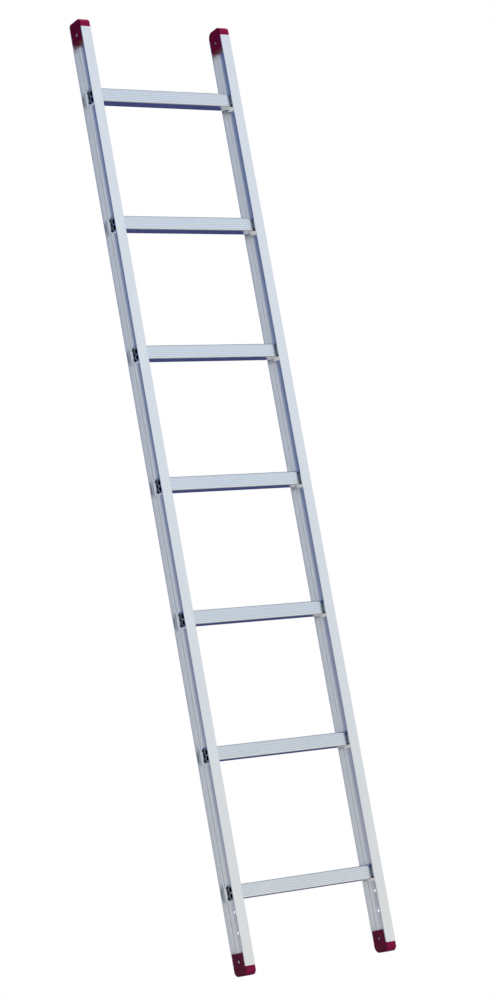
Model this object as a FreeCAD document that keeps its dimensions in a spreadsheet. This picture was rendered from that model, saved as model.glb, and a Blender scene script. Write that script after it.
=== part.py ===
import FreeCAD, Part
import os

import Sketcher
from FreeCAD import Vector

# A single straight ladder: two I-section aluminium stiles, seven square rung tubes that are
# formed into the stile webs, and a moulded plastic cap riveted over each stile end.
#
# Frame: X across the ladder (to the right), Y towards the back, Z up along the stiles.
# The origin is on the ground, under the middle of the ladder. All sizes are in millimetres.

# The driving dimensions, with the alias that each one has in the sheet.
DRIVING = [
    ("overall_width", 372, "outside of one stile to outside of the other"),
    ("stile_width", 23.5, "width of a stile flange, along X"),
    ("stile_depth", 46, "front of a stile to its back, along Y"),
    ("stile_length", 1974, "cut length of a stile"),
    ("stile_base", 19, "height of the stiles' lower ends above the ground"),
    ("flange_thick", 2.5, "flange thickness"),
    ("web_thick", 2, "web thickness"),
    ("root_radius", 3, "fillet between web and flange"),
    ("tip_radius", 0.6, "rounding of the flange tips"),
    ("rung_pitch", 280, "one rung to the next"),
    ("rung_count", 7, "number of rungs"),
    ("rung_height", 166.5, "axis of the lowest rung above the ground"),
    ("rung_size", 29, "height and depth of the ribbed rung section"),
    ("rung_corner", 3, "corner radius of the ribbed section"),
    ("rung_wall", 1.5, "wall of the rung tube"),
    ("rung_shoulder", 1.8, "rounding where the ribbed section ends"),
    ("groove_wide", 1.1, "width of a groove between two ribs"),
    ("groove_deep", 0.5, "depth of a groove"),
    ("groove_pitch", 4, "one groove to the next"),
    ("groove_count", 6, "grooves on one face of the rung"),
    ("neck_size", 27, "height and depth of the swaged rung end, which fills the web's hole"),
    ("neck_corner", 6, "corner radius of the swaged end"),
    ("neck_bore", 24, "height and depth of the opening through the swaged end"),
    ("bead_size", 35, "height and depth of the formed bead inside the web"),
    ("bead_thick", 4, "width of the formed bead along X"),
    ("bead_corner", 9, "corner radius of the bead and of the lip"),
    ("bead_edge", 1.5, "rounding of the bead's edge"),
    ("lip_size", 35, "height and depth of the flared lip outside the web"),
    ("lip_thick", 2.5, "how far the flared lip stands out from the web"),
    ("lip_edge", 0.9, "rounding of the lip's edge"),
    ("lip_mouth", 28.5, "height and depth of the opening at the lip's edge"),
    ("loop_radius", 6.8, "outer radius of each of the two loops inside the rung"),
    ("loop_rise", 6.5, "middle of a loop above or below the rung's axis"),
    ("loop_wall", 1.2, "wall of a loop"),
    ("bar_hole", 7, "diameter of the holes for a stabiliser bar's bolts"),
    ("bar_hole_drop", 60, "middle of the two holes below the lowest rung's axis"),
    ("bar_hole_gap", 42, "one stabiliser bar hole to the other, along the stile"),
    ("cap_reach", 19, "how far a cap covers beyond the end of its stile"),
    ("cap_front", 11, "height of the cap's front face beyond the stile end"),
    ("cap_ramp", 12, "depth of the curve between the cap's front face and its flat"),
    ("cap_nose", 3, "rounding between the cap's front face and that curve"),
    ("heel_inner", 15, "radius of the cap's back corner, on the side towards the rungs"),
    ("heel_outer", 6, "radius of a top cap's back corner, on the outer side"),
    ("heel_foot", 12, "radius of a foot's back corner, on the outer side"),
    ("cap_edge", 1.5, "rounding of the cap's side edges"),
    ("tongue_length", 27, "how far the cap's tongues reach along the stile"),
    ("tongue_root", 3.3, "rounding of a tongue beside the web, clear of the stile's fillet"),
    ("tread_wide", 1.6, "width of a groove in the foot's sole"),
    ("tread_deep", 1, "depth of a groove in the sole"),
    ("tread_pitch", 5.6, "one sole groove to the next"),
    ("tread_count", 4, "grooves in the sole"),
    ("rivet_shank", 3.2, "diameter of the blind rivets"),
    ("rivet_head", 6.5, "diameter of the rivet head"),
    ("rivet_dome", 0.9, "height of the rivet head"),
    ("rivet_bulb", 5, "diameter of the rivet's formed blind end"),
    ("bulb_length", 1.6, "length of the formed blind end"),
    ("bulb_round", 0.7, "rounding of the formed blind end"),
    ("rivet_rise", 10.5, "rivet axis beyond the stile end, towards the rungs"),
    ("rivet_back", 1, "rivet axis behind the middle of the stile"),
    ("rivet_seat", 9.5, "diameter of the recess that a rivet end sits in"),
    ("rivet_sink", 1.2, "depth of that recess"),
    ("mandrel_size", 1.8, "diameter of the mandrel left inside a rivet"),
    ("mandrel_head", 3, "diameter of the mandrel's head at the blind end"),
    ("mandrel_cap", 1, "length of the mandrel's head"),
    ("mandrel_short", 0.5, "how far the broken mandrel ends below the rivet's dome"),
]


class Size:
    """A length worked out from the sheet: its number, and the expression that binds it."""

    def __init__(self, number, text):
        self.number = number
        self.text = text

    def combine(self, other, sign, number):
        other_text = other.text if isinstance(other, Size) else str(other)
        return Size(number, "({} {} {})".format(self.text, sign, other_text))

    def __add__(self, other):
        return self.combine(other, "+", self.number + number_of(other))

    def __sub__(self, other):
        return self.combine(other, "-", self.number - number_of(other))

    def __mul__(self, other):
        return self.combine(other, "*", self.number * number_of(other))

    def __truediv__(self, other):
        return self.combine(other, "/", self.number / number_of(other))

    def __neg__(self):
        return Size(-self.number, "(0 - {})".format(self.text))


ZERO = Size(0.0, "0")


def number_of(value):
    return value.number if isinstance(value, Size) else value


def make_sheet(doc):
    """The sheet of driving dimensions, and a dictionary of the sizes in it."""
    sheet = doc.addObject("Spreadsheet::Sheet", "Dimensions")
    sizes = {}
    for row, (alias, number, meaning) in enumerate(DRIVING, start=1):
        sheet.set("A{}".format(row), str(number))
        sheet.setAlias("A{}".format(row), alias)
        sheet.set("B{}".format(row), meaning)
        sizes[alias] = Size(float(number), "Dimensions." + alias)
    doc.recompute()
    return sizes


# ---------------------------------------------------------------- sketches and features


def bind(obj, prop, size):
    """Sets a property to a size and keeps it bound to the sheet."""
    obj.setExpression(prop, size.text)


def origin_part(body, role):
    """The plane or axis of the body's origin that has this role."""
    return next(f for f in body.Origin.OriginFeatures if f.Role == role)


def make_sketch(body, name, role, offset=None):
    """A sketch on one of the body's origin planes, moved along the plane's normal by offset."""
    sketch = body.newObject("Sketcher::SketchObject", name)
    sketch.AttachmentSupport = [(origin_part(body, role), "")]
    sketch.MapMode = "FlatFace"
    if offset is not None:
        sketch.AttachmentOffset = FreeCAD.Placement(
            Vector(0, 0, offset.number), FreeCAD.Rotation()
        )
        bind(sketch, "AttachmentOffset.Base.z", offset)
    return sketch


def bind_constraint(sketch, kind, where, size):
    index = sketch.addConstraint(Sketcher.Constraint(kind, *where, size.number))
    sketch.setExpression("Constraints[{}]".format(index), size.text)


def bind_point(sketch, geometry, end, point):
    bind_constraint(sketch, "DistanceX", (geometry, end), point[0])
    bind_constraint(sketch, "DistanceY", (geometry, end), point[1])


def line_to(x, y):
    return {"end": (x, y), "centre": None, "radius": None}


def arc_to(x, y, centre_x, centre_y, radius):
    """An anticlockwise arc to (x, y)."""
    return {"end": (x, y), "centre": (centre_x, centre_y), "radius": radius}


def vector_of(point):
    return Vector(number_of(point[0]), number_of(point[1]), 0)


def draw(sketch, path):
    """Draws a closed outline, anticlockwise, from segments that each say where they end."""
    start = path[-1]["end"]
    first = sketch.GeometryCount
    for segment in path:
        a, b = vector_of(start), vector_of(segment["end"])
        if segment["centre"] is None:
            index = sketch.addGeometry(Part.LineSegment(a, b))
        else:
            centre = vector_of(segment["centre"])
            circle = Part.Circle(centre, Vector(0, 0, 1), segment["radius"].number)
            arc = Part.ArcOfCircle(circle, circle.parameter(a), circle.parameter(b))
            index = sketch.addGeometry(arc)
            bind_constraint(sketch, "Radius", (index,), segment["radius"])
        bind_point(sketch, index, 2, segment["end"])
        start = segment["end"]
    last = sketch.GeometryCount - 1
    for index in range(first, last + 1):
        following = index + 1 if index < last else first
        sketch.addConstraint(Sketcher.Constraint("Coincident", index, 2, following, 1))


def rectangle(left, right, bottom, top):
    return [line_to(right, bottom), line_to(right, top), line_to(left, top), line_to(left, bottom)]


def rounded_rectangle(left, right, bottom, top, radius):
    """A rectangle whose four corners have one radius."""
    inner_left, inner_right = left + radius, right - radius
    inner_bottom, inner_top = bottom + radius, top - radius
    return [
        line_to(inner_right, bottom),
        arc_to(right, inner_bottom, inner_right, inner_bottom, radius),
        line_to(right, inner_top),
        arc_to(inner_right, top, inner_right, inner_top, radius),
        line_to(inner_left, top),
        arc_to(left, inner_top, inner_left, inner_top, radius),
        line_to(left, inner_bottom),
        arc_to(inner_left, bottom, inner_left, inner_bottom, radius),
    ]


def rounded_square(size, height, radius):
    """A rounded square about Y = 0 and Z = height, for a sketch on a YZ plane."""
    half = size / 2
    return rounded_rectangle(-half, half, height - half, height + half, radius)


def draw_circle(sketch, x, y, radius):
    circle = Part.Circle(vector_of((x, y)), Vector(0, 0, 1), radius.number)
    index = sketch.addGeometry(circle)
    bind_constraint(sketch, "Radius", (index,), radius)
    bind_point(sketch, index, 3, (x, y))


def make_body(doc, label):
    body = doc.addObject("PartDesign::Body", label)
    body.Label = label
    body.Placement = FreeCAD.Placement()
    return body


def make_pad(body, name, sketch, length, symmetric=False, reverse=False):
    pad = body.newObject("PartDesign::Pad", name)
    pad.Profile = sketch
    pad.SideType = "Symmetric" if symmetric else "One side"
    pad.Reversed = reverse
    pad.Length = length.number
    bind(pad, "Length", length)
    return pad


def make_pocket(body, name, sketch, length, symmetric=True, reverse=False):
    pocket = body.newObject("PartDesign::Pocket", name)
    pocket.Profile = sketch
    pocket.SideType = "Symmetric" if symmetric else "One side"
    pocket.Reversed = reverse
    pocket.Length = length.number
    bind(pocket, "Length", length)
    return pocket


def make_pattern(body, name, features, axis_role, pitch, count):
    """Repeats features along one of the body's axes, and makes the result the body's tip."""
    pattern = body.newObject("PartDesign::LinearPattern", name)
    pattern.Originals = features
    pattern.Direction = (origin_part(body, axis_role), [""])
    pattern.Mode = "Spacing"
    pattern.Occurrences = int(count.number)
    pattern.Offset = pitch.number
    bind(pattern, "Offset", pitch)
    bind(pattern, "Occurrences", count)
    body.Tip = pattern
    return pattern


def make_mirror(body, name, features, plane_role):
    mirror = body.newObject("PartDesign::Mirrored", name)
    mirror.Originals = features
    mirror.MirrorPlane = (origin_part(body, plane_role), [""])
    body.Tip = mirror
    return mirror


def make_fillet(doc, body, name, base, radius, wanted):
    """Rounds the edges of a feature that pass the test wanted(edge)."""
    doc.recompute()
    edges = ["Edge{}".format(i) for i, e in enumerate(base.Shape.Edges, start=1) if wanted(e)]
    if not edges:
        raise RuntimeError("{} of {} has no edge to round".format(name, body.Label))
    fillet = body.newObject("PartDesign::Fillet", name)
    fillet.Base = (base, edges)
    fillet.Radius = radius.number
    bind(fillet, "Radius", radius)
    return fillet


# ---------------------------------------------------------------- choosing edges to round


NEAR = 0.01          # how closely two measurements of an edge agree
LONG_SHARE = 0.9     # an edge that runs the length of a bar is at least this share of it
RIM_SHARE = 0.75     # an edge on the rim of a square is beyond this share of its half size


def lies_at(edge, x):
    """Whether the whole edge lies at this distance left or right of the ladder's middle."""
    box = edge.BoundBox
    return box.XLength < NEAR and abs(abs(box.Center.x) - abs(x.number)) < NEAR


def lies_along(box, y, z):
    """Whether an edge with this bounding box runs along X at this Y and Z."""
    return abs(box.Center.y - y.number) < NEAR and abs(box.Center.z - z.number) < NEAR


def is_outside(edge, height, size):
    """Whether the edge is on the rim of a square of this size about the rung's axis."""
    middle = edge.CenterOfMass
    reach = max(abs(middle.y), abs(middle.z - height.number))
    return reach > RIM_SHARE * size.number / 2


# ---------------------------------------------------------------- shared positions


LEFT, RIGHT = -1, 1
LOWER, UPPER = -1, 1


def stile_middle(s, side):
    """X of the middle of a stile."""
    return (s["overall_width"] - s["stile_width"]) / 2 * side


def stile_end(s, end):
    """Z of a stile's lower or upper end."""
    return s["stile_base"] if end == LOWER else s["stile_base"] + s["stile_length"]


def cap_flat(s, end):
    """Z of the ground under the feet, or of the top of the top caps."""
    return stile_end(s, end) + s["cap_reach"] * end


def rivet_height(s, end):
    return stile_end(s, end) - s["rivet_rise"] * end


# ---------------------------------------------------------------- stiles


def make_stile(doc, s, label, side):
    """An I-section extrusion with a row of rung holes, two bar holes and two rivet holes."""
    body = make_body(doc, label)
    middle = stile_middle(s, side)
    half_width, half_depth = s["stile_width"] / 2, s["stile_depth"] / 2
    half_web, inside = s["web_thick"] / 2, s["stile_depth"] / 2 - s["flange_thick"]

    section = make_sketch(body, label + "_section", "XY_Plane", s["stile_base"])
    draw(section, [
        line_to(middle + half_width, -half_depth),
        line_to(middle + half_width, -inside),
        line_to(middle + half_web, -inside),
        line_to(middle + half_web, inside),
        line_to(middle + half_width, inside),
        line_to(middle + half_width, half_depth),
        line_to(middle - half_width, half_depth),
        line_to(middle - half_width, inside),
        line_to(middle - half_web, inside),
        line_to(middle - half_web, -inside),
        line_to(middle - half_width, -inside),
        line_to(middle - half_width, -half_depth),
    ])
    bar = make_pad(body, label + "_bar", section, s["stile_length"])

    def is_long(edge):
        return edge.Length > LONG_SHARE * s["stile_length"].number

    def is_root(edge):
        off_middle = abs(edge.CenterOfMass.x - middle.number)
        return is_long(edge) and off_middle < s["web_thick"].number

    def is_tip(edge):
        off_middle = abs(edge.CenterOfMass.x - middle.number)
        return is_long(edge) and off_middle > half_width.number - s["tip_radius"].number

    roots = make_fillet(doc, body, label + "_roots", bar, s["root_radius"], is_root)
    make_fillet(doc, body, label + "_tips", roots, s["tip_radius"], is_tip)

    through = s["web_thick"] * 3
    rung_hole = make_sketch(body, label + "_rung_hole", "YZ_Plane", middle)
    draw(rung_hole, rounded_square(s["neck_size"], s["rung_height"], s["neck_corner"]))
    first_hole = make_pocket(body, label + "_first_hole", rung_hole, through)
    make_pattern(body, label + "_rung_holes", [first_hole], "Z_Axis",
                 s["rung_pitch"], s["rung_count"])

    small_holes = make_sketch(body, label + "_small_holes", "YZ_Plane", middle)
    bar_middle = s["rung_height"] - s["bar_hole_drop"]
    for step in (-1, 1):
        height = bar_middle + s["bar_hole_gap"] / 2 * step
        draw_circle(small_holes, ZERO, height, s["bar_hole"] / 2)
    for end in (LOWER, UPPER):
        draw_circle(small_holes, s["rivet_back"], rivet_height(s, end), s["rivet_shank"] / 2)
    body.Tip = make_pocket(body, label + "_drilled", small_holes, through)
    return body


# ---------------------------------------------------------------- rungs


def make_rung(doc, s, label, number):
    """A ribbed square tube. Each end is swaged to a neck that fills the hole in the web,
    with a bead formed on the inside of the web and a flared lip on its outside."""
    body = make_body(doc, label)
    height = s["rung_height"] + s["rung_pitch"] * (number - 1)
    half = s["rung_size"] / 2
    web_middle = stile_middle(s, 1)
    web_inside = web_middle - s["web_thick"] / 2
    web_outside = web_middle + s["web_thick"] / 2
    ribbed_length = s["overall_width"] - s["stile_width"] * 2
    neck_length = web_outside * 2

    section = make_sketch(body, label + "_section", "YZ_Plane")
    draw(section, rounded_square(s["rung_size"], height, s["rung_corner"]))
    tube = make_pad(body, label + "_tube", section, ribbed_length, symmetric=True)
    make_fillet(doc, body, label + "_shoulders", tube, s["rung_shoulder"],
                lambda edge: lies_at(edge, ribbed_length / 2))

    # Fine grooves leave ribs on the front, the back and the tread. The underside is plain.
    reach = s["groove_pitch"] * (s["groove_count"] - 1) / 2
    half_groove, bottom = s["groove_wide"] / 2, half - s["groove_deep"]
    low = height - reach
    sides = make_sketch(body, label + "_side_groove", "YZ_Plane")
    for left, right in ((-half - 1, -bottom), (bottom, half + 1)):
        draw(sides, rectangle(left, right, low - half_groove, low + half_groove))
    side_groove = make_pocket(body, label + "_side_cut", sides, ribbed_length + 2)
    make_pattern(body, label + "_side_ribs", [side_groove], "Z_Axis",
                 s["groove_pitch"], s["groove_count"])
    tread = make_sketch(body, label + "_tread_groove", "YZ_Plane")
    draw(tread, rectangle(-reach - half_groove, -reach + half_groove,
                          height + bottom, height + half + 1))
    tread_groove = make_pocket(body, label + "_tread_cut", tread, ribbed_length + 2)
    make_pattern(body, label + "_tread_ribs", [tread_groove], "Y_Axis",
                 s["groove_pitch"], s["groove_count"])

    neck = make_sketch(body, label + "_neck_section", "YZ_Plane")
    draw(neck, rounded_square(s["neck_size"], height, s["neck_corner"]))
    make_pad(body, label + "_neck", neck, neck_length, symmetric=True)

    bead = make_sketch(body, label + "_bead_section", "YZ_Plane", web_inside)
    draw(bead, rounded_square(s["bead_size"], height, s["bead_corner"]))
    bead_pad = make_pad(body, label + "_bead", bead, s["bead_thick"], reverse=True)
    lip = make_sketch(body, label + "_lip_section", "YZ_Plane", web_outside)
    draw(lip, rounded_square(s["lip_size"], height, s["bead_corner"]))
    lip_pad = make_pad(body, label + "_lip", lip, s["lip_thick"])
    ends = make_mirror(body, label + "_far_end", [bead_pad, lip_pad], "YZ_Plane")
    beads = make_fillet(doc, body, label + "_bead_edges", ends, s["bead_edge"],
                        lambda edge: lies_at(edge, web_inside - s["bead_thick"])
                        and is_outside(edge, height, s["bead_size"]))
    make_fillet(doc, body, label + "_lip_edges", beads, s["lip_edge"],
                lambda edge: lies_at(edge, web_outside + s["lip_thick"]))

    bore = make_sketch(body, label + "_bore_section", "YZ_Plane")
    draw(bore, rounded_square(s["neck_bore"], height, s["neck_corner"] - s["rung_wall"]))
    make_pocket(body, label + "_bore", bore, neck_length + s["lip_thick"] * 3)
    hollow = make_sketch(body, label + "_hollow_section", "YZ_Plane")
    inner_size = s["rung_size"] - s["rung_wall"] * 2
    draw(hollow, rounded_square(inner_size, height, s["rung_corner"] / 2))
    make_pocket(body, label + "_hollow", hollow, ribbed_length - s["rung_wall"] * 2)

    # The mouth of the lip opens out from the bore like a shallow funnel.
    mouth_edge = make_sketch(body, label + "_mouth_edge", "YZ_Plane", web_outside + s["lip_thick"])
    draw(mouth_edge, rounded_square(s["lip_mouth"], height, s["neck_corner"] + s["rung_wall"]))
    mouth_root = make_sketch(body, label + "_mouth_root", "YZ_Plane", web_middle)
    draw(mouth_root, rounded_square(s["neck_bore"], height, s["neck_corner"] - s["rung_wall"]))
    mouth = body.newObject("PartDesign::SubtractiveLoft", label + "_mouth")
    mouth.Profile = mouth_edge
    mouth.Sections = [mouth_root]
    mouth.Ruled = True
    make_mirror(body, label + "_mouths", [mouth], "YZ_Plane")

    # Two thin loops, one on top of the other, stiffen the tube from end to end.
    loops = make_sketch(body, label + "_loops_section", "YZ_Plane")
    holes = make_sketch(body, label + "_loop_holes_section", "YZ_Plane")
    for step in (-1, 1):
        level = height + s["loop_rise"] * step
        draw_circle(loops, ZERO, level, s["loop_radius"])
        draw_circle(holes, ZERO, level, s["loop_radius"] - s["loop_wall"])
    make_pad(body, label + "_loops", loops, neck_length, symmetric=True)
    body.Tip = make_pocket(body, label + "_loop_holes", holes, neck_length * 2)
    return body


# ---------------------------------------------------------------- caps


def cap_outline(s, end):
    """Side view of a cap's block, from the stile's end to its flat, with a curved front."""
    front, back = s["stile_depth"] / 2 * -1, s["stile_depth"] / 2
    seat = stile_end(s, end)
    flat = cap_flat(s, end)
    nose = seat + s["cap_front"] * end
    ramp_end = front + s["cap_ramp"]
    fall = s["cap_reach"] - s["cap_front"]
    ramp_radius = (s["cap_ramp"] * s["cap_ramp"] + fall * fall) / (fall * 2)
    ramp_centre = flat - ramp_radius * end
    if end == LOWER:
        return [
            line_to(front, nose),
            arc_to(ramp_end, flat, ramp_end, ramp_centre, ramp_radius),
            line_to(back, flat),
            line_to(back, seat),
            line_to(front, seat),
        ]
    return [
        line_to(back, flat),
        line_to(ramp_end, flat),
        arc_to(front, nose, ramp_end, ramp_centre, ramp_radius),
        line_to(front, seat),
        line_to(back, seat),
    ]


def tongue_outlines(s, middle):
    """The two tongues that fill the recesses of the I-section, one each side of the web."""
    inside, root = s["stile_depth"] / 2 - s["flange_thick"], s["tongue_root"]
    left, left_web = middle - s["stile_width"] / 2, middle - s["web_thick"] / 2
    right, right_web = middle + s["stile_width"] / 2, middle + s["web_thick"] / 2
    left_tongue = [
        line_to(left_web - root, -inside),
        arc_to(left_web, root - inside, left_web - root, root - inside, root),
        line_to(left_web, inside - root),
        arc_to(left_web - root, inside, left_web - root, inside - root, root),
        line_to(left, inside),
        line_to(left, -inside),
    ]
    right_tongue = [
        line_to(right, -inside),
        line_to(right, inside),
        line_to(right_web + root, inside),
        arc_to(right_web, inside - root, right_web + root, inside - root, root),
        line_to(right_web, root - inside),
        arc_to(right_web + root, -inside, right_web + root, root - inside, root),
    ]
    return left_tongue, right_tongue


def make_cap_blank(doc, s, label, end):
    """The cap before its corners are rounded and its holes are cut."""
    blank = make_body(doc, label + "_blank")
    middle, seat = stile_middle(s, RIGHT), stile_end(s, end)
    outline = make_sketch(blank, label + "_outline", "YZ_Plane", middle)
    draw(outline, cap_outline(s, end))
    make_pad(blank, label + "_block", outline, s["stile_width"], symmetric=True)
    section = make_sketch(blank, label + "_tongue_section", "XY_Plane", seat)
    for tongue in tongue_outlines(s, middle):
        draw(section, tongue)
    make_pad(blank, label + "_tongues", section, s["tongue_length"], reverse=end == UPPER)
    doc.recompute()
    return blank


def round_edges(doc, name, base, rounding):
    """Rounds the edges of base. rounding(edge) gives the radii at an edge's two ends, or None."""
    edges = []
    for index, edge in enumerate(base.Shape.Edges, start=1):
        radii = rounding(edge)
        if radii is not None:
            edges.append((index, radii[0], radii[1]))
    rounded = doc.addObject("Part::Fillet", name)
    rounded.Base = base
    rounded.Edges = edges
    doc.recompute()
    return rounded


def make_cross_pin(doc, name, radius, length, centre):
    """A cylinder along X, centred on a point."""
    pin = doc.addObject("Part::Cylinder", name)
    start = (centre[0] - length / 2, centre[1], centre[2])
    along_x = FreeCAD.Rotation(Vector(0, 1, 0), 90)
    pin.Placement = FreeCAD.Placement(Vector(*[value.number for value in start]), along_x)
    bind(pin, "Radius", radius)
    bind(pin, "Height", length)
    for axis, value in zip("xyz", start):
        bind(pin, "Placement.Base." + axis, value)
    return pin


def make_sole_groove(doc, s, name, middle, step):
    """One groove across a foot's sole, at a step from the middle one."""
    groove = doc.addObject("Part::Box", name)
    bind(groove, "Length", s["stile_width"] * 2)
    bind(groove, "Width", s["tread_wide"])
    bind(groove, "Height", s["tread_deep"] * 2)
    bind(groove, "Placement.Base.x", middle - s["stile_width"])
    bind(groove, "Placement.Base.y", s["tread_pitch"] * step - s["tread_wide"] / 2)
    bind(groove, "Placement.Base.z", -s["tread_deep"])
    return groove


def make_cap(doc, s, label, end):
    """The right stile's moulded cap: a block over the stile's end, and two tongues that are
    riveted to its web."""
    blank = make_cap_blank(doc, s, label, end)
    middle, seat = stile_middle(s, RIGHT), stile_end(s, end)
    half_width, back = s["stile_width"] / 2, s["stile_depth"] / 2

    def corner_radii(edge):
        """The nose has one radius. The back corner is rounder on the side towards the rungs."""
        box = edge.BoundBox
        if box.XLength < half_width.number:
            return None
        if lies_along(box, -back, seat + s["cap_front"] * end):
            return (s["cap_nose"].number, s["cap_nose"].number)
        if not lies_along(box, back, cap_flat(s, end)):
            return None
        starts_inside = abs(edge.Vertexes[0].X) < abs(middle.number)
        outer = s["heel_foot"] if end == LOWER else s["heel_outer"]
        radii = (s["heel_inner"].number, outer.number)
        return radii if starts_inside else radii[::-1]

    def side_radii(edge):
        box = edge.BoundBox
        beyond_seat = (box.Center.z - seat.number) * end > NEAR
        radius = s["cap_edge"].number
        return (radius, radius) if box.XLength < NEAR and beyond_seat else None

    shaped = round_edges(doc, label + "_corners", blank, corner_radii)
    rounded = round_edges(doc, label + "_rounded", shaped, side_radii)

    height = rivet_height(s, end)
    cutters = [make_cross_pin(doc, label + "_rivet_hole", s["rivet_shank"] / 2,
                              s["stile_width"] * 2, (middle, s["rivet_back"], height))]
    for name, face in (("_left_seat", middle - half_width), ("_right_seat", middle + half_width)):
        cutters.append(make_cross_pin(doc, label + name, s["rivet_seat"] / 2,
                                      s["rivet_sink"] * 2, (face, s["rivet_back"], height)))
    # A foot's sole has shallow grooves across it. A top cap is plain.
    if end == LOWER:
        count = int(s["tread_count"].number)
        for index in range(count):
            name = "{}_sole_groove_{}".format(label, index + 1)
            cutters.append(make_sole_groove(doc, s, name, middle, index - (count - 1) / 2))
    cut = doc.addObject("Part::MultiFuse", label + "_cutters")
    cut.Shapes = cutters
    cap = doc.addObject("Part::Cut", label)
    cap.Base = rounded
    cap.Tool = cut
    cap.Label = label
    cap.Placement = FreeCAD.Placement()
    return cap


def make_cap_pair(doc, s, name, end):
    """The right stile's cap, and the left stile's, which is its mirror image."""
    right = make_cap(doc, s, name + "_right", end)
    left = doc.addObject("Part::Mirroring", name + "_left")
    left.Label = name + "_left"
    left.Source = right
    left.Normal = Vector(1, 0, 0)
    return [left, right]


# ---------------------------------------------------------------- rivets


def place_on_stile(body, s, side, end):
    """Puts a rivet or mandrel through the web, its head on the outer side of the stile."""
    middle, height = stile_middle(s, side), rivet_height(s, end)
    turn = FreeCAD.Rotation(Vector(0, 0, 1), 180 if side == LEFT else 0)
    back = s["rivet_back"]
    body.Placement = FreeCAD.Placement(Vector(middle.number, back.number, height.number), turn)
    bind(body, "Placement.Base.x", middle)
    bind(body, "Placement.Base.y", back)
    bind(body, "Placement.Base.z", height)


def revolve(body, name, sketch):
    """Turns a sketch right round its own horizontal axis."""
    turned = body.newObject("PartDesign::Revolution", name)
    turned.Profile = sketch
    turned.ReferenceAxis = (sketch, ["H_Axis"])
    turned.Angle = 360
    return turned


def make_rivet(doc, s, label, side, end):
    """A blind rivet: domed head, hollow shank and rounded blind end, along its own X axis."""
    body = make_body(doc, label)
    bore, shank = s["mandrel_size"] / 2, s["rivet_shank"] / 2
    head, bulb = s["rivet_head"] / 2, s["rivet_bulb"] / 2
    seat = s["stile_width"] / 2 - s["rivet_sink"]
    crown, tail = seat + s["rivet_dome"], -seat - s["bulb_length"]
    rise = head - bore
    dome_radius = (rise * rise + s["rivet_dome"] * s["rivet_dome"]) / (s["rivet_dome"] * 2)
    shoulder, rounding = tail + s["bulb_round"], s["bulb_round"]
    profile = make_sketch(body, label + "_profile", "XY_Plane")
    draw(profile, [
        line_to(crown, bore),
        arc_to(seat, head, crown - dome_radius, bore, dome_radius),
        line_to(seat, shank),
        line_to(-seat, shank),
        line_to(-seat, bulb),
        line_to(shoulder, bulb),
        arc_to(tail, bulb - rounding, shoulder, bulb - rounding, rounding),
        line_to(tail, bore),
    ])
    revolve(body, label + "_turned", profile)
    place_on_stile(body, s, side, end)
    return body


def make_mandrel(doc, s, label, side, end):
    """The steel pin left in a blind rivet: its head at the blind end, broken off in the dome."""
    body = make_body(doc, label)
    pin, head = s["mandrel_size"] / 2, s["mandrel_head"] / 2
    seat = s["stile_width"] / 2 - s["rivet_sink"]
    broken = seat + s["rivet_dome"] - s["mandrel_short"]
    tail = -seat - s["bulb_length"]
    profile = make_sketch(body, label + "_profile", "XY_Plane")
    draw(profile, [
        line_to(broken, ZERO),
        line_to(broken, pin),
        line_to(tail, pin),
        line_to(tail, head),
        line_to(tail - s["mandrel_cap"] / 2, head),
        line_to(tail - s["mandrel_cap"], head / 2),
        line_to(tail - s["mandrel_cap"], ZERO),
    ])
    revolve(body, label + "_turned", profile)
    place_on_stile(body, s, side, end)
    return body


# ---------------------------------------------------------------- the ladder


def make_ladder(doc, s):
    bodies = make_cap_pair(doc, s, "foot", LOWER) + make_cap_pair(doc, s, "top_cap", UPPER)
    for side, side_name in ((LEFT, "left"), (RIGHT, "right")):
        bodies.append(make_stile(doc, s, "stile_" + side_name, side))
        for end, place in ((LOWER, "foot"), (UPPER, "top")):
            ending = "_{}_{}".format(place, side_name)
            bodies.append(make_rivet(doc, s, "rivet" + ending, side, end))
            bodies.append(make_mandrel(doc, s, "mandrel" + ending, side, end))
    for number in range(1, int(s["rung_count"].number) + 1):
        bodies.append(make_rung(doc, s, "rung_{}".format(number), number))
    return bodies


def check(doc, bodies):
    """Stops with a message if a feature failed or a sub-part isn't one valid solid."""
    for obj in doc.Objects:
        if "Invalid" in obj.State or "Error" in obj.State:
            raise RuntimeError("{} failed: {}".format(obj.Label, obj.State))
    for body in bodies:
        shape = body.Shape
        if shape.isNull() or not shape.isValid() or len(shape.Solids) != 1:
            raise RuntimeError("{} isn't one valid solid".format(body.Label))


def main():
    doc = FreeCAD.newDocument("Ladder")
    bodies = make_ladder(doc, make_sheet(doc))
    doc.recompute()
    check(doc, bodies)
    os.makedirs("parts", exist_ok=True)
    for body in bodies:
        body.Shape.exportStep("parts/{}.step".format(body.Label))
        box = body.Shape.BoundBox
        print("{}: {:.0f} mm3, z {:.1f} to {:.1f}".format(
            body.Label, body.Shape.Volume, box.ZMin, box.ZMax))


main()
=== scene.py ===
import math

import bpy
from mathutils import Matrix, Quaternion, Vector


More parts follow.
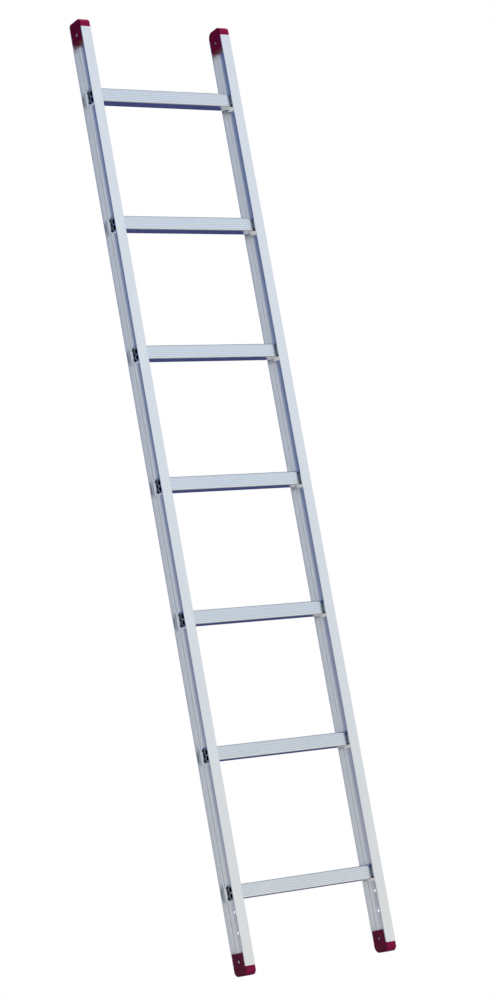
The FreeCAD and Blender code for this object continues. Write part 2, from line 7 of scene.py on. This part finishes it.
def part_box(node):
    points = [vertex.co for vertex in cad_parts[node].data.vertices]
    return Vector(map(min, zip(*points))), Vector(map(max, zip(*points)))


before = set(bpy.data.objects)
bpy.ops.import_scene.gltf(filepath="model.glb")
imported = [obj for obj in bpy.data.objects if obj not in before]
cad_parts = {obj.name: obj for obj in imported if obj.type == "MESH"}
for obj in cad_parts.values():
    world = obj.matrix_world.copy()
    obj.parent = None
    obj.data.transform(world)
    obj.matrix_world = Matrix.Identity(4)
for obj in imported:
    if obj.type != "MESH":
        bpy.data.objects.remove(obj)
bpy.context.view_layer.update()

# A single straight aluminium ladder, upright on a pale floor. Every piece has its shape from the
# CAD frame, so this script gives the pieces their materials, and sets up the light and camera.
# Metres; X across the ladder, Y towards its back, Z up along the stiles. Colours are linear RGB.

# ---------------------------------------------------------------- camera

CAMERA_PLACE = Vector((-3.0955, -4.5454, -0.0539))
CAMERA_HEADING = 34.124    # degrees from +Y towards +X
CAMERA_PITCH = 8.396       # degrees above the horizon
CAMERA_ROLL = -10.132      # degrees, so that the upright ladder leans as it did for its picture
CAMERA_SENSOR = 36         # millimetres, as is the lens
CAMERA_LENS = 96.925
CAMERA_RISE = 0.1          # small vertical shift, which the framing of the picture needs


def make_camera():
    heading, pitch = math.radians(CAMERA_HEADING), math.radians(CAMERA_PITCH)
    forward = Vector((
        math.sin(heading) * math.cos(pitch),
        math.cos(heading) * math.cos(pitch),
        math.sin(pitch),
    ))
    roll = Quaternion((0, 0, 1), math.radians(CAMERA_ROLL))
    camera = bpy.data.objects.new("camera", bpy.data.cameras.new("camera"))
    bpy.context.scene.collection.objects.link(camera)
    camera.location = CAMERA_PLACE
    camera.rotation_mode = "QUATERNION"
    camera.rotation_quaternion = forward.to_track_quat("-Z", "Y") @ roll
    camera.data.sensor_width = CAMERA_SENSOR
    camera.data.lens = CAMERA_LENS
    camera.data.shift_y = CAMERA_RISE
    bpy.context.scene.camera = camera


# ---------------------------------------------------------------- node helpers

# How noise is stretched: into lines along a stile, into lines along a rung, or not at all.
ALONG_Z = (1.0, 1.0, 0.006)
ALONG_X = (0.006, 1.0, 1.0)
EVEN = (1.0, 1.0, 1.0)


def opaque(colour):
    return (*colour, 1)


def grey(level):
    return (level, level, level)


class Nodes:
    """A node tree with short ways to add a node and to join two sockets."""

    def __init__(self, tree):
        self.tree = tree
        tree.nodes.clear()

    def feed(self, socket, value):
        """Joins a socket to another one, or sets it to a plain value."""
        if isinstance(value, bpy.types.NodeSocket):
            self.tree.links.new(value, socket)
        else:
            socket.default_value = value

    def add(self, kind, inputs=None, **settings):
        node = self.tree.nodes.new(kind)
        for name, value in settings.items():
            setattr(node, name, value)
        for name, value in (inputs or {}).items():
            self.feed(node.inputs[name], value)
        return node

    def position(self):
        """The place of a surface point, in the object's own space."""
        return self.add("ShaderNodeTexCoord").outputs["Object"]

    def split(self, vector):
        """The three parts of a vector, under the names X, Y and Z."""
        return self.add("ShaderNodeSeparateXYZ", {"Vector": vector}).outputs

    def math(self, operation, *values):
        return self.add("ShaderNodeMath", dict(enumerate(values)), operation=operation).outputs[0]

    def remap(self, value, start, end, low=0.0, high=1.0, curve="LINEAR"):
        """Takes start to end onto low to high, and goes no further past either end."""
        node = self.add("ShaderNodeMapRange", {
            "Value": value, "From Min": start, "From Max": end, "To Min": low, "To Max": high,
        }, interpolation_type=curve)
        return node.outputs["Result"]

    def span(self, value, start, end):
        """Takes start to end smoothly onto 0 to 1."""
        return self.remap(value, start, end, curve="SMOOTHSTEP")

    def ramp(self, value, stops):
        """A colour ramp; stops are (position, colour) pairs."""
        node = self.add("ShaderNodeValToRGB", {"Fac": value})
        elements = node.color_ramp.elements
        for element, (position, colour) in zip(elements, (stops[0], stops[-1])):
            element.position, element.color = position, opaque(colour)
        for position, colour in stops[1:-1]:
            elements.new(position).color = opaque(colour)
        return node.outputs["Color"]

    def mix(self, factor, first, second):
        """The first colour where the factor is 0, the second where it is 1."""
        # A Mix node has sockets for each kind of data, under the same names. The numbers here
        # are those of its factor and of its two colours and their result.
        node = self.add("ShaderNodeMix", data_type="RGBA")
        factor_socket, first_socket, second_socket = (node.inputs[i] for i in (0, 6, 7))
        self.feed(factor_socket, factor)
        for socket, colour in ((first_socket, first), (second_socket, second)):
            self.feed(socket, opaque(colour) if isinstance(colour, tuple) else colour)
        return node.outputs[2]

    def noise(self, scale, detail, stretch=EVEN):
        """Noise in the object's own space, stretched by a factor along each axis."""
        spread = self.add("ShaderNodeMapping", {"Vector": self.position(), "Scale": stretch})
        node = self.add("ShaderNodeTexNoise", {
            "Vector": spread.outputs["Vector"], "Scale": scale, "Detail": detail, "Roughness": 0.6,
        })
        return node.outputs["Fac"]

    def bump(self, height, strength, distance):
        inputs = {"Height": height, "Strength": strength, "Distance": distance}
        return self.add("ShaderNodeBump", inputs).outputs["Normal"]


def new_material(name):
    material = bpy.data.materials.new(name)
    material.use_nodes = True
    return material, Nodes(material.node_tree)


def finish_material(nodes, inputs):
    shader = nodes.add("ShaderNodeBsdfPrincipled", inputs)
    nodes.add("ShaderNodeOutputMaterial", {"Surface": shader.outputs["BSDF"]})


# ---------------------------------------------------------------- materials

# The lightest and the darkest tone of each metal.
STILE_METAL = (0.90, 0.92, 0.95), (0.80, 0.82, 0.86)
RUNG_METAL = (0.82, 0.87, 0.93), (0.73, 0.78, 0.85)
RIVET_METAL = (0.75, 0.76, 0.78), (0.60, 0.60, 0.63)
# Painted shade inside the rung tube, on an inside wall that is also a little oxidised.
TUBE_INSIDE_SHADE_AND_OXIDE = (0.09, 0.095, 0.13)

RUNG_SIZE = 0.029          # height and depth of the rung tube
RUNG_WALL = 0.0015
# The darker groove bottoms are painted shade, with some dirt.
GROOVE_DIRT_AND_SHADE = 0.72        # tone at the bottom of a groove, where 1 is the open metal

CLOUDING = 0.18            # share of the clouds in a metal's tone; the rest is drawing lines
UNEVENNESS = 0.04          # how far its roughness strays either way


def drawn_metal(nodes, tones, roughness, run):
    """The shader inputs of a mill-finish extrusion: fine drawing lines along its length, and
    faint broad clouding."""
    light, dark = tones
    lines = nodes.noise(scale=900, detail=4, stretch=run)
    clouds = nodes.noise(scale=9, detail=5)
    lined = nodes.mix(lines, dark, light)
    clouded = nodes.ramp(clouds, [(0.35, dark), (0.65, light)])
    return {
        "Base Color": nodes.mix(CLOUDING, lined, clouded),
        "Metallic": 1.0,
        "Roughness": nodes.remap(clouds, 0, 1, roughness - UNEVENNESS, roughness + UNEVENNESS),
        "Normal": nodes.bump(lines, strength=0.12, distance=0.00015),
    }


def aluminium(name, tones, roughness, run):
    material, nodes = new_material(name)
    finish_material(nodes, drawn_metal(nodes, tones, roughness, run))
    return material


def rung_axis(number):
    """Height of a rung's axis above the floor."""
    low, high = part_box(f"rung_{number}")
    return (low.z + high.z) / 2


def rung_aluminium():
    """The same metal, with painted shade: near black inside the tube, which is also a little
    oxidised, and darker at the bottom of the grooves, partly dirt.
    """
    material, nodes = new_material("rung_aluminium")
    inputs = drawn_metal(nodes, RUNG_METAL, 0.28, ALONG_X)

    # How far a point is from its own rung's axis, upwards or backwards, whichever is more.
    place = nodes.split(nodes.position())
    above_first = nodes.math("SUBTRACT", place["Z"], rung_axis(1))
    half_pitch = (rung_axis(2) - rung_axis(1)) / 2
    above_nearest = nodes.math("PINGPONG", above_first, half_pitch)
    reach = nodes.math("MAXIMUM", nodes.math("ABSOLUTE", place["Y"]), above_nearest)

    # Through the wall, from 0 just outside its inner face to 1 just inside its outer face. The
    # bottom of a groove is at about two thirds.
    inner_wall = RUNG_SIZE / 2 - RUNG_WALL
    through_wall = nodes.remap(reach, inner_wall + 0.0002, RUNG_SIZE / 2 - 0.0001)
    # Painted shade: black at the inner wall, and darker at the bottom of the grooves, where it is
    # partly dirt.
    shade = nodes.ramp(through_wall, [
        (0.0, grey(0)), (0.2, grey(1)),
        (0.5, grey(GROOVE_DIRT_AND_SHADE)), (0.8, grey(GROOVE_DIRT_AND_SHADE)), (0.95, grey(1))])

    # The cut ends of the wall face along X, and stay bright.
    facing = nodes.split(nodes.add("ShaderNodeTexCoord").outputs["Normal"])
    cut_end = nodes.span(nodes.math("ABSOLUTE", facing["X"]), 0.9, 0.98)
    open_metal = nodes.math("MAXIMUM", shade, cut_end)
    # Where the metal isn't open, it takes the painted shade colour of the inside of the tube.
    inputs["Base Color"] = nodes.mix(open_metal, TUBE_INSIDE_SHADE_AND_OXIDE, inputs["Base Color"])
    finish_material(nodes, inputs)
    return material


def cap_plastic():
    """Dark red moulded plastic with a fine matt grain."""
    material, nodes = new_material("cap_plastic")
    grain = nodes.noise(scale=2600, detail=2)
    patches = nodes.noise(scale=60, detail=4)
    finish_material(nodes, {
        "Base Color": nodes.ramp(patches, [
            (0.3, (0.16, 0.0006, 0.036)), (0.7, (0.20, 0.0008, 0.044))]),
        "Roughness": nodes.remap(patches, 0, 1, 0.42, 0.55),
        "Specular IOR Level": 0.12,
        "Normal": nodes.bump(grain, strength=0.25, distance=0.0001),
    })
    return material


def mandrel_steel():
    """The broken face of a mandrel: dull steel, rough all over."""
    material, nodes = new_material("mandrel_steel")
    pits = nodes.noise(scale=3000, detail=3)
    finish_material(nodes, {
        "Base Color": nodes.ramp(pits, [(0.3, (0.10, 0.10, 0.11)), (0.7, (0.22, 0.22, 0.24))]),
        "Metallic": 1.0,
        "Roughness": 0.5,
        "Normal": nodes.bump(pits, strength=0.4, distance=0.0001),
    })
    return material


def dress_frame():
    """Gives every CAD piece its material by the first word of its name."""
    plastic = cap_plastic()
    finishes = {
        "stile": aluminium("stile_aluminium", STILE_METAL, 0.34, ALONG_Z),
        "rung": rung_aluminium(),
        "foot": plastic,
        "top": plastic,
        "rivet": aluminium("rivet_aluminium", RIVET_METAL, 0.4, EVEN),
        "mandrel": mandrel_steel(),
    }
    for name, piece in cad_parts.items():
        piece.data.materials.clear()
        piece.data.materials.append(finishes[name.split("_")[0]])


# ---------------------------------------------------------------- floor

FLOOR_RADIUS = 2.0
FADE_START = 0.4 * FLOOR_RADIUS
FADE_END = 0.98 * FLOOR_RADIUS
FLOOR_SIDES = 96
FLOOR_PALE = (0.91, 0.90, 0.87)


def floor_material():
    """Pale in the middle, fading out towards the rim, and not there at all from below."""
    material, nodes = new_material("pale_floor")
    distance = nodes.add("ShaderNodeVectorMath", {0: nodes.position()}, operation="LENGTH")
    faded = nodes.span(distance.outputs["Value"], FADE_START, FADE_END)
    below = nodes.add("ShaderNodeNewGeometry").outputs["Backfacing"]
    hidden = nodes.math("MAXIMUM", faded, below)
    pale = nodes.add("ShaderNodeBsdfDiffuse", {"Color": opaque(FLOOR_PALE)}).outputs[0]
    clear = nodes.add("ShaderNodeBsdfTransparent").outputs[0]
    mixed = nodes.add("ShaderNodeMixShader", {0: hidden, 1: pale, 2: clear})
    nodes.add("ShaderNodeOutputMaterial", {"Surface": mixed.outputs[0]})
    return material


def make_floor():
    """A round floor that the ladder's metal doesn't reflect and that throws no light up."""
    turns = [math.tau * i / FLOOR_SIDES for i in range(FLOOR_SIDES)]
    rim = [(FLOOR_RADIUS * math.cos(turn), FLOOR_RADIUS * math.sin(turn), 0) for turn in turns]
    mesh = bpy.data.meshes.new("floor")
    mesh.from_pydata(rim, [], [list(range(FLOOR_SIDES))])
    mesh.materials.append(floor_material())
    floor = bpy.data.objects.new("floor", mesh)
    bpy.context.scene.collection.objects.link(floor)
    floor.visible_glossy = False
    floor.visible_diffuse = False


# ---------------------------------------------------------------- surroundings

# The surroundings are coloured by direction: across, from -1 on the left to 1 on the right;
# depth, from -1 in front to 1 behind; and height, from -1 below to 1 above.

WHITE = (1.0, 1.0, 1.0)
DIM = (0.26, 0.28, 0.33)
DIM_FOR_PLASTIC = (0.0, 0.0, 0.04)
SIDE_GREY = (0.45, 0.47, 0.50)
BACK_GREY = (0.50, 0.53, 0.58)


def front_of_studio(nodes, across, height, dim):
    """Warm at the ground and cool above it, with a darker band between. Towards the left it is
    dim high up, and at the far left all the way down."""
    bright = nodes.ramp(nodes.span(height, -0.02, 0.36), [
        (0.0, (1.0, 0.95, 0.84)), (0.05, (0.98, 0.94, 0.85)), (0.15, (0.30, 0.40, 0.50)),
        (0.45, (0.86, 0.93, 1.0)), (0.8, (0.88, 0.94, 1.0)), (1.0, (0.76, 0.82, 0.89))])
    low_only = nodes.mix(nodes.span(height, 0.4, 0.65), bright, dim)
    left = nodes.mix(nodes.span(across, -0.93, -0.86), dim, low_only)
    return nodes.mix(nodes.span(across, -0.45, -0.15), left, bright)


def back_of_studio(nodes, across, height):
    """Dark blue, but warm at the ground on the left, and grey high up and far out on the right."""
    left = nodes.ramp(nodes.span(height, -0.06, 0.08), [
        (0.0, (0.95, 0.88, 0.78)), (0.5, (0.34, 0.33, 0.36)), (1.0, (0.03, 0.08, 0.26))])
    near_right = nodes.ramp(nodes.span(height, 0.06, 0.22), [
        (0.0, (0.04, 0.05, 0.17)), (1.0, BACK_GREY)])
    right = nodes.mix(nodes.span(across, 0.62, 0.76), near_right, BACK_GREY)
    return nodes.mix(nodes.span(across, -0.05, 0.35), left, right)


def make_surroundings():
    """A white backdrop to the eye, and the studio to everything else."""
    world = bpy.data.worlds.new("studio")
    bpy.context.scene.world = world
    world.use_nodes = True
    nodes = Nodes(world.node_tree)
    direction = nodes.split(nodes.add("ShaderNodeTexCoord").outputs["Generated"])
    across, depth, height = direction["X"], direction["Y"], direction["Z"]
    path = nodes.add("ShaderNodeLightPath").outputs

    dim = nodes.mix(path["Is Diffuse Ray"], DIM, DIM_FOR_PLASTIC)
    front = front_of_studio(nodes, across, height, dim)
    back = back_of_studio(nodes, across, height)
    between = nodes.mix(nodes.span(across, 0.0, 0.7), dim, SIDE_GREY)
    not_front = nodes.mix(nodes.span(depth, 0.25, 0.6), between, back)
    studio = nodes.mix(nodes.span(depth, -0.3, -0.65), not_front, front)

    lit = nodes.add("ShaderNodeBackground", {"Color": studio}).outputs[0]
    white = nodes.add("ShaderNodeBackground", {"Color": opaque(WHITE)}).outputs[0]
    mixed = nodes.add("ShaderNodeMixShader", {0: path["Is Camera Ray"], 1: lit, 2: white})
    nodes.add("ShaderNodeOutputWorld", {"Surface": mixed.outputs[0]})


# ---------------------------------------------------------------- lights

# Where the softboxes point.
LADDER_MIDDLE = (0, 0, 1.0)
LADDER_FOOT = (0, 0, 0)


def make_softbox(name, place, target, size, power, colour):
    """Lights the plastic and the floor. The metal doesn't reflect it, and it is out of sight."""
    light = bpy.data.lights.new(name, "AREA")
    light.shape = "RECTANGLE"
    light.size, light.size_y = size
    light.energy = power
    light.color = colour
    softbox = bpy.data.objects.new(name, light)
    bpy.context.scene.collection.objects.link(softbox)
    softbox.location = place
    softbox.visible_camera = False
    softbox.visible_glossy = False
    aim = Vector(target) - Vector(place)
    softbox.rotation_mode = "QUATERNION"
    softbox.rotation_quaternion = aim.to_track_quat("-Z", "Y")


def make_lights():
    make_softbox("key", place=(-0.5, -4.3, 1.9), target=LADDER_MIDDLE,
                 size=(1.0, 2.2), power=90, colour=(1.0, 0.97, 0.93))
    make_softbox("back", place=(2.6, 3.2, 3.0), target=LADDER_MIDDLE,
                 size=(2.6, 2.6), power=80, colour=(0.95, 0.97, 1.0))
    make_softbox("top", place=(0.9, 0.3, 4.0), target=LADDER_FOOT,
                 size=(1.4, 2.4), power=110, colour=(1.0, 0.99, 0.95))


make_camera()
dress_frame()
make_floor()
make_surroundings()
make_lights()
bpy.context.scene.view_settings.view_transform = "Standard"
